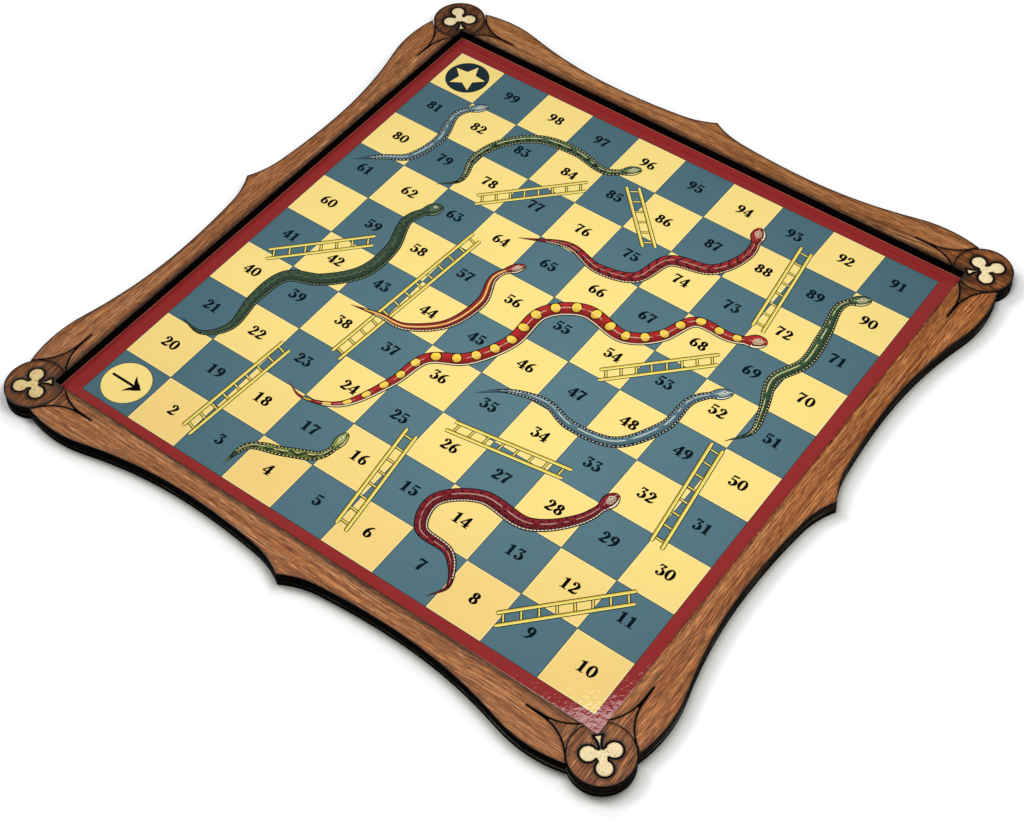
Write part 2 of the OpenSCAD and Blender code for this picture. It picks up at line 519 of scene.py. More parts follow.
CREAM = rgb(252, 225, 135)
BLUE = rgb(84, 120, 129)
RED = rgb(148, 39, 39)
LINE = rgb(44, 50, 38)
BLACK, SLATE = rgb(7, 5, 3), rgb(8, 24, 32)
NAVY = rgb(30, 46, 54)
# How glossy the film is, and how glossy it looks over black ink
FILM_GLOSS, INK_GLOSS = 0.4, 0.06


def spun(x, y, angle):
    """The place (x, y) turned about (0, 0)."""
    return x * cos(angle) - y * sin(angle), y * cos(angle) + x * sin(angle)


def print_place(paint):
    """The place in the print's own frame, in millimetres from its middle."""
    return spun(paint.x - PRINT_AT[0], paint.y - PRINT_AT[1], -PRINT_TURN)


def laminate(paint, gloss=FILM_GLOSS):
    """The clear glossy film over every printed colour. It is slightly crinkled, and dips at the edge."""
    crinkle = paint.cloud(2.0, 1.0)
    waves = paint.cloud(14, 3.0, detail=1.0)
    to_edge = SHEET_HALF - folded(paint)[1]
    relief = crinkle * 0.06 + waves * 0.2 + smooth(to_edge, -1.0, 7.0) * 0.07
    speck = paint.cloud(0.5, 6.0)
    paint.shade(0.995 + (speck - 0.5) * 0.26 + (paint.cloud(45, 8.0) - 0.5) * 0.10)
    return paint.finish(0.05 + speck * 0.04, specular=gloss, height=relief)


def sheet_paint():
    """The squares and the border of the print."""
    paint = Paint("printed_squares")
    u, v = print_place(paint)
    i, j = u / SQUARE + ROWS / 2, v / SQUARE + ROWS / 2
    odd = ((i.floor() + j.floor()) * 0.5).fract() > 0.25
    # the cream is a little warmer along the first row, and the blue has painted light: lighter in the middle
    # of the print and darker toward its edges
    cream = mix(smooth(v, -40.0, -125.0), CREAM, rgb(246, 213, 129))
    from_middle = apart(u - 32.0, v + 32.0)
    painted_falloff = ((from_middle - 20.0) / 140.0).clamp()
    blue = mix(painted_falloff, tinted(BLUE, (1.13, 1.06, 1.07)), tinted(BLUE, (0.72, 0.78, 0.83)))
    paint.colour = mix(odd, blue, cream)
    to_line = least(from_half(i + 0.5), from_half(j + 0.5)) * SQUARE
    paint.over(odd * (to_line < 0.65) * 0.35, rgb(255, 246, 196))
    paint.over((to_line < 0.17) * 0.85, LINE)

    past_squares = most(abs(u), abs(v)) - ROWS / 2 * SQUARE
    edge = SHEET_HALF - folded(paint)[1]
    far = on_far_sides(paint)
    # painted light: along the two far sides the red is painted paler next to the wall and fuller away from
    # it, to offset the wall's shade and dark reflection
    wall_evened_red = mix(smooth(edge, 2.0, 4.2), tinted(RED, (1.09, 1.38, 1.38)), tinted(RED, (0.94, 0.77, 0.77)))
    paint.over(past_squares > 0.0, mix(far, RED, wall_evened_red))
    paint.over((abs(past_squares) < 0.12) * 0.7, LINE)
    # the sheet's very edge is pale, with a painted highlight that makes it paler still toward the near
    # corner
    at_edge = fading(edge, 0.25, 0.5)
    to_corner = apart(paint.x - SHEET_HALF, (paint.y + SHEET_HALF) * 1.6)
    paint.over(at_edge * (fading(to_corner, 12.0, 60.0) * 0.6 + 0.12), rgb(226, 166, 160))
    # along the two far sides its edge is paler in patches, with a thin line of painted shade beside it for
    # the wall's dark reflection
    patchy = smooth(paint.cloud(6, 12.0), 0.34, 0.58)
    paint.over(far * at_edge * (patchy * 0.35 + 0.1), rgb(204, 122, 84))
    paint.over(far * fading(abs(edge - 0.8), 0.1, 0.3) * 0.3, rgb(84, 14, 20))
    paint.over(paint.up < 0.5, rgb(226, 205, 188))
    return laminate(paint)


# Flat printed shapes. Each is a list of convex outlines, which are joined into one.

def curve_through(knots, steps=8):
    """A smooth line through the knots, with anything else they hold smoothed the same way."""
    knots = np.array(knots, float)
    if len(knots) == 2:
        return np.array([knots[0] + (knots[1] - knots[0]) * t for t in (0, 0.5, 1)])
    ends = np.vstack([2 * knots[0] - knots[1], knots, 2 * knots[-1] - knots[-2]])
    shares = np.arange(steps) / steps
    found = []
    for a, b, c, d in zip(ends, ends[1:], ends[2:], ends[3:]):
        bend, twist = 2 * a - 5 * b + 4 * c - d, 3 * b - a - 3 * c + d
        found += [0.5 * (2 * b + (c - a) * t + bend * t * t + twist * t ** 3) for t in shares]
    return np.array(found + [knots[-1]])


def sides_of(points):
    """Unit steps to the left of a line of points."""
    run = np.gradient(points[:, :2], axis=0)
    run /= np.linalg.norm(run, axis=1)[:, None]
    return np.stack([-run[:, 1], run[:, 0]], 1)


def stroke(*knots, spread=0.0):
    """A pen stroke through knots (x, y, half its width), as a row of small outlines."""
    line = curve_through(knots)
    left = sides_of(line) * (line[:, 2:3] + spread)
    one, two = line[:, :2] + left, line[:, :2] - left
    ways = zip(two, two[1:], one[1:], one)
    return [[tuple(corner) for corner in corners] for corners in ways]


def ring(x, y, wide, high, side, top, count=48):
    """An oval loop, thick at its sides and thin at its top and foot."""
    found = []
    for k in range(count):
        corners = []
        for step, turn in ((0, 1), (1, 1), (1, -1), (0, -1)):
            a = 2 * pi * (k + step) / count
            corners.append((x + (wide + turn * side) * cos(a), y + (high + turn * top) * sin(a)))
        found.append(corners[::-1])
    return found


def dot(x, y, radius, count=28):
    angles = [2 * pi * k / count for k in range(count)]
    return [[(x + radius * cos(a), y + radius * sin(a)) for a in angles]]


def slab(*corners):
    return [list(corners)]


def box(left, low, right, high):
    return slab((left, low), (right, low), (right, high), (left, high))


def moved(outlines, x, y, way=1):
    """Outlines moved by (x, y), and with -1 for the way also turned half round."""
    return [[(x + way * px, y + way * py) for px, py in outline] for outline in outlines]


INK_SPREAD = 0.018


def numerals():
    """Bold numerals with thick uprights and thin joins, one unit tall."""

    def pen(*knots):
        return stroke(*knots, spread=INK_SPREAD)

    def loop(x, y, wide, high):
        return ring(x, y, wide, high, 0.12, 0.06)

    hook = [(0.44, 0.09, 0.07), (0.28, 0.045, 0.035), (0.15, 0.09, 0.03), (0.10, 0.17, 0.03)]
    foot = pen(*hook) + dot(0.165, 0.2, 0.115)
    six = loop(0.345, 0.30, 0.19, 0.24)
    six += pen((0.155, 0.32, 0.10), (0.175, 0.57, 0.10), (0.29, 0.82, 0.075))
    six += pen((0.29, 0.82, 0.075), (0.44, 0.94, 0.045), (0.58, 0.985, 0.012))
    two = pen((0.085, 0.75, 0.02), (0.14, 0.88, 0.035), (0.30, 0.945, 0.045), (0.46, 0.87, 0.085))
    two += pen((0.46, 0.87, 0.085), (0.50, 0.69, 0.11), (0.38, 0.44, 0.075), (0.19, 0.21, 0.04))
    two += pen((0.19, 0.21, 0.04), (0.07, 0.09, 0.04))
    two += pen((0.05, 0.08, 0.06), (0.2, 0.11, 0.09), (0.38, 0.09, 0.085), (0.54, 0.10, 0.07))
    two += pen((0.54, 0.10, 0.07), (0.61, 0.18, 0.03), (0.63, 0.29, 0.01)) + dot(0.165, 0.735, 0.11)
    seven = pen((0.05, 0.9, 0.05), (0.18, 0.92, 0.075), (0.36, 0.9, 0.07), (0.5, 0.91, 0.06))
    seven += pen((0.5, 0.91, 0.06), (0.62, 0.975, 0.015))
    seven += pen((0.58, 0.94, 0.03), (0.46, 0.68, 0.065), (0.35, 0.38, 0.1), (0.31, 0.1, 0.115))
    seven += pen((0.31, 0.1, 0.115), (0.31, 0.01, 0.11))
    return {
        "0": loop(0.35, 0.5, 0.225, 0.44),
        "1": slab((0.205, 0.03), (0.455, 0.03), (0.455, 1.0), (0.205, 0.88))
        + slab((0.40, 1.0), (0.30, 0.95), (0.06, 0.85), (0.06, 0.77), (0.3, 0.80), (0.43, 0.95))
        + box(0.07, 0.0, 0.59, 0.075),
        "2": two,
        "3": slab((0.12, 0.86), (0.56, 0.86), (0.57, 1.0), (0.10, 1.0))
        + slab((0.10, 1.0), (0.07, 0.74), (0.12, 0.73), (0.21, 0.9))
        + pen((0.52, 0.92, 0.04), (0.27, 0.585, 0.035))
        + pen((0.26, 0.575, 0.03), (0.40, 0.575, 0.05), (0.51, 0.46, 0.095), (0.53, 0.27, 0.115), hook[0])
        + foot,
        "4": pen((0.45, 0.96, 0.035), (0.06, 0.31, 0.035))
        + box(0.0, 0.215, 0.68, 0.33)
        + slab((0.34, 0.03), (0.575, 0.03), (0.575, 0.98), (0.47, 1.0), (0.34, 0.80))
        + box(0.24, 0.0, 0.68, 0.075),
        "5": slab((0.13, 0.84), (0.55, 0.84), (0.61, 1.0), (0.15, 1.0))
        + slab((0.10, 0.50), (0.175, 0.50), (0.20, 0.98), (0.12, 0.98))
        + pen((0.13, 0.53, 0.03), (0.29, 0.60, 0.045), (0.45, 0.54, 0.09), (0.53, 0.33, 0.12), hook[0])
        + foot,
        "6": six,
        "7": seven + slab((0.04, 0.99), (0.02, 0.68), (0.075, 0.68), (0.16, 0.93)),
        "8": loop(0.345, 0.735, 0.155, 0.205) + loop(0.345, 0.28, 0.195, 0.22),
        "9": moved(six, 0.69, 1.0, way=-1),
    }


def counter_clockwise(outline):
    area = sum(a[0] * b[1] - b[0] * a[1] for a, b in zip(outline, outline[1:] + outline[:1]))
    return outline if area > 0 else outline[::-1]


def joined(outlines):
    """One flat shape from overlapping convex outlines: its corners and its triangles."""
    corners, loops = [], []
    for outline in outlines:
        loops.append(list(range(len(corners), len(corners) + len(outline))))
        corners += counter_clockwise(outline)
    found = delaunay_2d_cdt([Vector(c) for c in corners], [], loops, 0, 1e-5)
    spots, triangles, covers = found[0], found[2], found[5]
    return [tuple(s) for s in spots], [tuple(t) for t, cover in zip(triangles, covers) if cover]


def on_board(u, v):
    """A place of the print, in millimetres from its middle, as a place on the board."""
    x, y = spun(u, v, PRINT_TURN)
    return PRINT_AT[0] + x, PRINT_AT[1] + y


def placed(data):
    """A new object in the scene, with the name of its data."""
    made = bpy.data.objects.new(data.name, data)
    bpy.context.scene.collection.objects.link(made)
    return made


def new_mesh(name, places, faces, material):
    mesh = bpy.data.meshes.new(name)
    mesh.from_pydata(places, [], faces)
    mesh.materials.append(material)
    return mesh


def raised(plan, high):
    """Places of the print as the points of a thin layer on the sheet, first its top and then its foot."""
    flat = [on_board(*place) for place in plan]
    return [(x * MM, y * MM, (SHEET_TOP + z) * MM) for z in (high, 0.0) for x, y in flat]


def film(name, shape, high, ink, colour, gloss=FILM_GLOSS):
    """A thin closed layer of one ink on the sheet. shape is its corners, as places of the print, and
    its triangles. high is its height, and ink is its material's name."""
    spots, triangles = shape
    count = len(spots)
    faces = [tuple(t) for t in triangles]
    faces += [tuple(v + count for v in reversed(t)) for t in triangles]
    # the rim has a wall, and an edge between two triangles has none
    rim = {}
    for t in triangles:
        for a, b in zip(t, t[1:] + t[:1]):
            if not rim.pop((b, a), False):
                rim[(a, b)] = True
    faces += [(a, a + count, b + count, b) for a, b in rim]
    mesh = new_mesh(name, raised(spots, high), faces, laminate(Paint(ink, colour), gloss))
    mesh.validate()
    dressed(mesh)


def dressed(mesh):
    """An object of the print, which rides on the board."""
    piece = placed(mesh)
    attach(piece, "root")


def in_print(i, j):
    """A place in squares from the print's lower left corner, in millimetres from its middle."""
    return (i - ROWS / 2) * SQUARE, (j - ROWS / 2) * SQUARE


def square_middle(number):
    """The middle of a numbered square. The rows run to and fro."""
    row, step = divmod(number - 1, ROWS)
    column = step if row % 2 == 0 else ROWS - 1 - step
    return in_print(column + 0.5, row + 0.5)


# Snakes and ladders

# Heights of the print's layers over the sheet, in millimetres. Each snake lies over the one before it.
DISC_HIGH, RIM_HIGH, INK_HIGH = 0.010, 0.014, 0.020
RUNG_HIGH, RAIL_HIGH = 0.030, 0.034
SNAKE_HIGH, SNAKE_STEP = 0.040, 0.002

# Each ladder: its foot and its top, in squares from the print's lower left corner
LADDERS = [
    ((1.93, 0.35), (2.08, 2.6)),
    ((5.1, 0.35), (4.85, 2.4)),
    ((7.95, 0.42), (9.4, 1.93)),
    ((0.45, 3.95), (1.75, 5.27)),
    ((2.85, 2.9), (3.12, 6.35)),
    ((5.25, 2.85), (7.3, 3.15)),
    ((9.12, 2.85), (8.87, 4.95)),
    ((6.55, 5.05), (7.95, 6.45)),
    ((8.1, 7.35), (7.85, 9.35)),
    ((5.65, 7.85), (4.6, 8.9)),
    ((2.55, 7.05), (3.95, 8.45)),
]

# Each snake: its style, half its width, and the places it winds through from its head to its tail.
# They keep to the lines between the squares, so that the numbers stay clear.
SNAKES = [
    ("saddles", 3.8, (
        (8.4, 7.2), (7.85, 6.95), (7.2, 6.9), (6.9, 6.3), (6.4, 5.95), (5.6, 6.05), (5.05, 5.6),
        (5.0, 4.8), (4.65, 4.1), (4.1, 3.7), (3.95, 3.0), (3.6, 2.2), (3.0, 1.93), (2.6, 2.05),
    )),
    ("lined", 2.7, (
        (1.3, 9.1), (0.95, 8.6), (1.1, 7.9), (0.95, 7.25), (0.55, 6.95), (0.15, 6.6),
    )),
    ("chevrons", 3.4, (
        (6.95, 9.35), (7.1, 8.7), (6.8, 8.05), (6.1, 7.8), (5.85, 7.15), (5.2, 6.95), (4.5, 7.1),
        (3.7, 6.75),
    )),
    ("beads", 3.0, (
        (9.3, 9.0), (8.95, 8.6), (9.05, 7.9), (9.1, 7.2), (8.87, 6.6), (9.05, 6.0), (9.15, 5.5),
        (8.9, 5.1),
    )),
    ("plain", 3.7, (
        (2.2, 6.6), (1.9, 6.0), (2.1, 5.3), (2.05, 4.6), (1.6, 4.05), (1.05, 3.75), (0.95, 3.1),
        (1.05, 2.4), (0.75, 2.0), (0.25, 2.05),
    )),
    ("net", 3.4, (
        (8.15, 3.3), (7.95, 2.6), (7.35, 2.05), (6.5, 2.05), (5.95, 1.6), (6.1, 1.05), (6.7, 0.95),
        (7.05, 0.5), (6.9, 0.15),
    )),
    ("adder", 2.6, (
        (4.05, 1.8), (4.0, 1.25), (3.5, 0.95), (2.95, 0.7), (2.85, 0.2),
    )),
    ("lined", 2.9, (
        (8.5, 6.0), (8.05, 5.5), (7.98, 4.8), (7.55, 4.1), (6.8, 3.95), (6.2, 4.1), (5.6, 3.95),
        (5.15, 3.6),
    )),
    ("diamonds", 2.9, (
        (4.5, 9.35), (4.0, 8.95), (3.3, 9.05), (2.6, 8.95), (2.1, 8.5), (1.9, 7.9), (2.05, 7.3),
        (1.75, 6.95),
    )),
    ("stripes", 2.7, (
        (4.2, 6.3), (3.92, 5.8), (4.08, 5.2), (3.92, 4.5), (3.4, 4.05), (2.9, 4.0), (2.35, 3.9),
    )),
]


# The ends of a snake that have their points closer together, in millimetres
FINE_HEAD, FINE_TAIL = 3, 8


def snake_line(half_width, places):
    """The middle line of a snake: x, y, way along and half width, in millimetres."""
    rough = curve_through([in_print(*place) for place in places], steps=24)
    way = np.concatenate([[0], np.cumsum(np.hypot(*np.diff(rough, axis=0).T))])
    total = way[-1]
    head, tail = np.linspace(0, FINE_HEAD, 12)[:-1], np.linspace(total - FINE_TAIL, total, 14)
    even = np.concatenate([head, np.arange(FINE_HEAD, total - FINE_TAIL, 1.0), tail])
    x, y = np.interp(even, way, rough[:, 0]), np.interp(even, way, rough[:, 1])
    # the snout, the cheeks, the neck, the thick middle and the thin tail
    stations = [0, 0.4, 1.2, 2.6, 4.6, 6.6, 9.5, 13, 0.35 * total, 0.65 * total, 0.85 * total, total]
    widths = [0.08, 0.42, 0.64, 0.88, 1.04, 0.94, 0.60, 0.70, 1.0, 0.88, 0.54, 0.03]
    half = np.interp(even, stations, widths) * half_width
    return np.stack([x, y, even, half], 1)


def band_faces(count):
    """The faces of a closed band whose sides have this many points each, raised."""
    # round the band: one side and the other on top, and back along its foot
    girth = (0, count, 3 * count, 2 * count)
    faces = [girth[::-1], tuple(v + count - 1 for v in girth)]
    for a, b in zip(girth, girth[1:] + girth[:1]):
        faces += [(a + k, b + k, b + k + 1, a + k + 1) for k in range(count - 1)]
    return faces


def bands(name, lines, material):
    """A piece of closed thin bands, from pairs of a line and its height. Its points know the way
    along their band, the way across it and its half width."""
    places, faces, body = [], [], []
    for line, high in lines:
        left = sides_of(line) * line[:, 3:4]
        first = len(places)
        places += raised([*(line[:, :2] + left), *(line[:, :2] - left)], high)
        faces += [tuple(v + first for v in face) for face in band_faces(len(line))]
        body += [(way, side * half, half) for side in (1, -1) for way, half in line[:, 2:]] * 2
    mesh = new_mesh(name, places, faces, material)
    known = mesh.attributes.new("body", "FLOAT_VECTOR", "POINT")
    known.data.foreach_set("vector", np.array(body, np.float32).ravel())
    dressed(mesh)


def body_paint(name):
    """A paint that knows the way along a band, the way across it and its half width."""
    paint = Paint(name)
    paint.way, paint.side, paint.half = paint.split("Attribute", "Vector", attribute_name="body")
    return paint


def motif(paint, style, grow=0.0):
    """The mask of a snake's marks. grow makes round marks larger."""
    way, side, half = paint.way, paint.side, paint.half
    if style == "adder":
        swing = from_half(way, 6.0) * 4.0 - 1.0
        return abs(side - swing * half * 0.32) < 0.55
    if style == "diamonds":
        return from_half(way, 5.0) * 4.5 + abs(side) < 1.5
    if style == "beads":
        return apart(from_half(way, 2.6) * 2.6, abs(side) - 0.36 * half) < 0.42
    if style == "stripes":
        return abs(side + 0.15 * half) < 0.42
    if style == "saddles":
        return apart(from_half(way, 8.4) * 4.4, side / half * 1.5 + 0.35) < 1.0 + grow
    if style == "chevrons":
        return ((way + abs(side) * 1.1) / 4.6).fract() < 0.26
    if style == "lined":
        return (from_half(way, 3.2) < 0.25) * (abs(abs(side) - 0.62 * half) < 0.3)
    return from_half(way + side, 3.4) + from_half(way - side, 3.4) < 0.3


# The skin, the marks and the belly of each style
PALETTES = {
    "saddles": (rgb(176, 34, 34), rgb(252, 204, 70), rgb(252, 238, 196)),
    "lined": (rgb(92, 126, 140), rgb(30, 44, 52), rgb(222, 230, 216)),
    "chevrons": (rgb(158, 34, 40), rgb(62, 12, 20), rgb(246, 220, 180)),
    "beads": (rgb(60, 92, 60), rgb(26, 40, 28), rgb(238, 230, 168)),
    "plain": (rgb(58, 84, 62), rgb(34, 50, 38), rgb(110, 134, 100)),
    "net": (rgb(136, 26, 40), rgb(66, 10, 22), rgb(244, 226, 196)),
    "adder": (rgb(118, 136, 66), rgb(36, 52, 30), rgb(242, 232, 160)),
    "diamonds": (rgb(66, 100, 66), rgb(24, 38, 26), rgb(236, 230, 168)),
    "stripes": (rgb(140, 36, 32), rgb(240, 180, 84), rgb(248, 230, 186)),
}


# Styles with a pattern of beads along both edges; the others have a belly stripe along one side
BEADED = ("beads", "diamonds", "lined", "adder")


def snake_paint(style):
    skin, mark, belly = PALETTES[style]
    paint = body_paint("snake_" + style)
    way, side, half = paint.way, paint.side, paint.half
    across = side / half
    # rounded by shade, and scaly
    bright = 1.2 - smooth(across, -0.9, 0.95) * 0.72
    paint.colour = scaled(skin, bright)
    net = most(from_half(way + side * 0.9, 1.2), from_half(way - side * 0.9, 1.2))
    paint.over((net > 0.40) * (0.6 if style in ("plain", "net") else 0.3), BLACK)
    marked = smooth(way, 8.0, 9.5) * (half > 0.7)
    if style == "saddles":
        paint.over(motif(paint, style, 0.26) * marked, rgb(40, 10, 8))
    paint.over(motif(paint, style) * marked, scaled(mark, bright))
    shine = noise(way / 5.0, side / 2.0, 3.0, detail=1.0)
    glint = (abs(across + 0.18) < 0.085) * smooth(shine, 0.42, 0.54) * (half > 1.0)
    paint.over(glint * (0.8 if style in BEADED else 0.35), belly)
    grown = (half > 1.2) * (way > 7.5)
    if style in BEADED:
        rim = half - 0.55 - abs(side)
        paint.over((rim < 0.42) * grown, BLACK)
        paint.over((abs(rim) + from_half(way, 1.5) * 1.125 < 0.34) * grown, belly)
    else:
        rim = half - 0.95 - side
        paint.over((rim < 0.16) * grown, BLACK)
        chain = 1.0 if style == "saddles" else (way / 1.3 + side * 0.4).fract() > 0.28
        paint.over((rim < -0.03) * grown * chain, belly)
    # the head: a light crown, a pale jaw, a mouth line and an eye
    head = way > 0.7
    crown = (apart((way - 4.0) / 2.4, across / 0.5) < 1.0) * head
    paint.over(crown * 0.35, belly)
    paint.over((across > 0.55) * head * (way < 7.0), belly)
    paint.over((abs(across - 0.55) < 0.09) * head * (way < 6.4), BLACK)
    eye = apart(way - 3.3, side + 0.30 * half)
    paint.over(eye < 0.75, rgb(246, 238, 204))
    paint.over(eye < 0.45, BLACK)
    paint.over(half - abs(side) < least(half * 0.6, 0.5), BLACK)
    return laminate(paint)


def bar_line(start, end, half):
    """A straight band with rounded ends."""
    long = hypot(*np.subtract(end, start))
    ends = half * (1 - np.cos(np.linspace(0, pi / 2, 6)))
    way = np.concatenate([ends, np.linspace(half, long - half, 8)[1:-1], long - ends[::-1]])
    inside = np.clip(np.minimum(way, long - way), 0, half)
    width = np.sqrt(np.maximum(half ** 2 - (half - inside) ** 2, 0.0001))
    x, y = (a + (b - a) * way / long for a, b in zip(start, end))
    return np.stack([x, y, way, width], 1)


LADDER_HALF, RAIL_HALF, RUNG_HALF = 2.6, 0.96, 0.66
RUNG_GAP = 6.4
# How far one rail stands up past the other, and how far a rung leans, each way from the middle
RAIL_SLIP = 0.8
RUNG_LEAN = 0.5
# The first and last rungs are this far from the ladder's ends
RUNG_IN = 3


def ladder_bars(foot, top):
    """The lines of a ladder's two rails and of its rungs."""
    foot, top = np.array(in_print(*foot)), np.array(in_print(*top))
    long = hypot(*(top - foot))
    up = (top - foot) / long
    left = np.array([-up[1], up[0]]) * LADDER_HALF
    rails = []
    for side in (-1, 1):
        shift = (left + up * RAIL_SLIP) * side
        rails.append(bar_line(foot + shift, top + shift, RAIL_HALF))
    rungs = []
    count = int((long - 4) / RUNG_GAP)
    for k in range(count + 1):
        middle = foot + up * (RUNG_IN + (long - 2 * RUNG_IN) * k / count)
        half_rung = left + up * RUNG_LEAN
        rungs.append(bar_line(middle - half_rung, middle + half_rung, RUNG_HALF))
    return rails, rungs


def ladder_paint():
    """Yellow bars with a dark outline and a darker side."""
    paint = body_paint("ladder_yellow")
    across = paint.side / paint.half
    grain_line = noise(paint.way / 3.0, paint.side / 0.25, 2.0, detail=1.0)
    paint.colour = mix(smooth(across, -0.2, 0.3), rgb(250, 236, 128), rgb(222, 192, 76))
    paint.over(smooth(grain_line, 0.60, 0.70) * 0.5, rgb(170, 140, 44))
    paint.over(paint.half - abs(paint.side) < 0.36, rgb(22, 20, 8))
    return laminate(paint)


def make_ladders():
    paint = ladder_paint()
    lines = []
    for k, (foot, top) in enumerate(LADDERS):
        rails, rungs = ladder_bars(foot, top)
        bars = [(line, RUNG_HIGH) for line in rungs] + [(line, RAIL_HIGH) for line in rails]
        bands(f"ladder_{k + 1}", bars, paint)
        lines += rails
    return lines


def make_snakes():
    paints = {}
    lines = []
    for k, (style, half_width, places) in enumerate(SNAKES):
        if style not in paints:
            paints[style] = snake_paint(style)
        line = snake_line(half_width, places)
        bands(f"snake_{k + 1}", [(line, SNAKE_HIGH + SNAKE_STEP * k)], paints[style])
        lines.append(line)
    return lines


# Numbers and the two round marks

DIGIT_H = 5.2
DIGIT_WIDE = 1.08
DIGIT_STEP = 0.74
NUMBER_UP = 0.9
# How far a number stays in from its square's edges, and how much room beside it is enough
NUMBER_IN, CLEAR_ENOUGH = 2.0, 0.4
# How many places are tried each way, and how far a number moves for a millimetre more of room
TRIED, ROOM_WORTH = 21, 6


def gathered(shapes):
    """Several shapes as one. Each is its corners, its triangles and its place (x, y)."""
    spots, triangles = [], []
    for corners, faces, (x, y) in shapes:
        first = len(spots)
        spots += [(x + u, y + v) for u, v in corners]
        triangles += [tuple(v + first for v in face) for face in faces]
    return spots, triangles


def glyph_row(digits, text):
    """The corners and triangles of a number, centred on (0, 0)."""
    step = DIGIT_STEP * DIGIT_H
    return gathered((*digits[digit], ((k - len(text) / 2) * step, 0.0)) for k, digit in enumerate(text))


def clear_place(number, taken):
    """The middle of the square, or the nearest place in it that is clear of the figures."""
    x, y = square_middle(number)
    y += NUMBER_UP
    half_wide, half_high = len(str(number)) * DIGIT_STEP * DIGIT_H / 2, DIGIT_H / 2
    spare_x, spare_y = SQUARE / 2 - half_wide - NUMBER_IN, SQUARE / 2 - half_high - NUMBER_IN
    along_x, along_y = np.linspace(-spare_x, spare_x, TRIED), np.linspace(-spare_y, spare_y, TRIED)

    def score(step):
        """How clear the number's box is of the figures there, less how far it has moved."""
        away_x = np.maximum(np.abs(taken[:, 0] - (x + step[0])) - half_wide, 0)
        away_y = np.maximum(np.abs(taken[:, 1] - (y + step[1])) - half_high, 0)
        clear = (np.hypot(away_x, away_y) - taken[:, 2]).min()
        return min(clear, CLEAR_ENOUGH) * ROOM_WORTH - hypot(*step)

    far_x, far_y = max([(far_x, far_y) for far_x in along_x for far_y in along_y], key=score)
    return x + far_x, y + far_y


def make_numbers(lines):
    digits = {}
    for digit, outlines in numerals().items():
        corners, faces = joined(outlines)
        digits[digit] = [(x * DIGIT_WIDE * DIGIT_H, (y - 0.5) * DIGIT_H) for x, y in corners], faces
    taken = np.concatenate([line[:, [0, 1, 3]] for line in lines])
    for name, first, colour in (("numbers_on_cream", 2, BLACK), ("numbers_on_blue", 3, SLATE)):
        numbers = range(first, ROWS * ROWS, 2)
        rows = [(*glyph_row(digits, str(number)), clear_place(number, taken)) for number in numbers]
        film(name, gathered(rows), INK_HIGH, name, colour, INK_GLOSS)


# The radii of the first square's disc and the line round it, and of the last one's disc and star
START_R, START_RIM_R, FINISH_R = 0.415 * SQUARE, 0.421 * SQUARE, 0.41 * SQUARE
STAR_TIP, STAR_NOTCH = 0.345 * SQUARE, 0.16 * SQUARE
RIM_HALF = 0.12
DISC_SIDES = 96


def make_marks():
    """A disc with an arrow on the first square, and a disc with a star on the last."""
    x, y = square_middle(1)
    film("start_disc", joined(dot(x, y, START_R, DISC_SIDES)), DISC_HIGH, "start_cream", CREAM)
    rim = ring(x, y, START_RIM_R, START_RIM_R, RIM_HALF, RIM_HALF, DISC_SIDES)
    film("start_rim", joined(rim), RIM_HIGH, "start_line", LINE)
    barb = [(7.9, 0.0, 0.05), (5.6, 0.62, 0.95), (3.4, 2.1, 0.75), (1.5, 4.6, 0.05)]
    arrow = box(-7.6, -0.6, 5.6, 0.6)
    arrow += stroke(*barb) + stroke(*[(px, -py, w) for px, py, w in barb])
    arrow = moved(arrow, x - 0.4, y + 0.4)
    film("start_arrow", joined(arrow), INK_HIGH, "start_black", BLACK, INK_GLOSS)

    x, y = square_middle(ROWS * ROWS)
    disc = joined(dot(x, y, FINISH_R, DISC_SIDES))
    film("finish_disc", disc, DISC_HIGH, "finish_navy", NAVY, INK_GLOSS)
    star = []
    for k in range(5):
        a = pi / 2 + 2 * pi * k / 5
        corners = [(a - pi / 5, STAR_NOTCH), (a, STAR_TIP), (a + pi / 5, STAR_NOTCH)]
        star.append([(x, y)] + [(x + r * cos(t), y + r * sin(t)) for t, r in corners])
    film("finish_star", joined(star), INK_HIGH, "finish_cream", CREAM)


# Frame pieces with softened edges

# How wide the rounding of a piece's upper edges is
RAIL_EDGE, CORNER_EDGE, CLUB_EDGE, BASE_EDGE = 0.16, 0.12, 0.1, 0.12


def softened(node, name, material, char, width, top=FRAME_TOP):
    """A copy of a solid with slightly rounded upper edges, which stands for the node.
    material is for its top, and char for its cut sides."""
    source = bpy.data.objects[node]
    mesh = bmesh.new()
    mesh.from_mesh(source.data)
    bmesh.ops.remove_doubles(mesh, verts=mesh.verts, dist=1e-7)
    bmesh.ops.dissolve_limit(mesh, angle_limit=radians(0.05), verts=mesh.verts, edges=mesh.edges)
    level = top * MM - 1e-6
    rims = [
        e for e in mesh.edges
        if min(v.co.z for v in e.verts) > level and len(e.link_faces) == 2 and e.calc_face_angle() > 1.0
    ]
    bmesh.ops.bevel(
        mesh, geom=rims, offset=width * MM, segments=2, profile=0.5, affect="EDGES", clamp_overlap=True
    )
    bmesh.ops.triangulate(mesh, faces=[f for f in mesh.faces if len(f.verts) > 4])
    for edge in mesh.edges:
        edge.smooth = len(edge.link_faces) == 2 and edge.calc_face_angle(0.0) < radians(28)
    for face in mesh.faces:
        face.smooth = True
        face.material_index = int(abs(face.normal.z) < 0.3 or face.calc_center_median().z < level - 2e-4)
    made = bpy.data.meshes.new(name)
    mesh.to_mesh(made)
    mesh.free()
    made.materials.append(material)
    made.materials.append(char)
    piece = placed(made)
    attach(piece, "root")
    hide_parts(node)


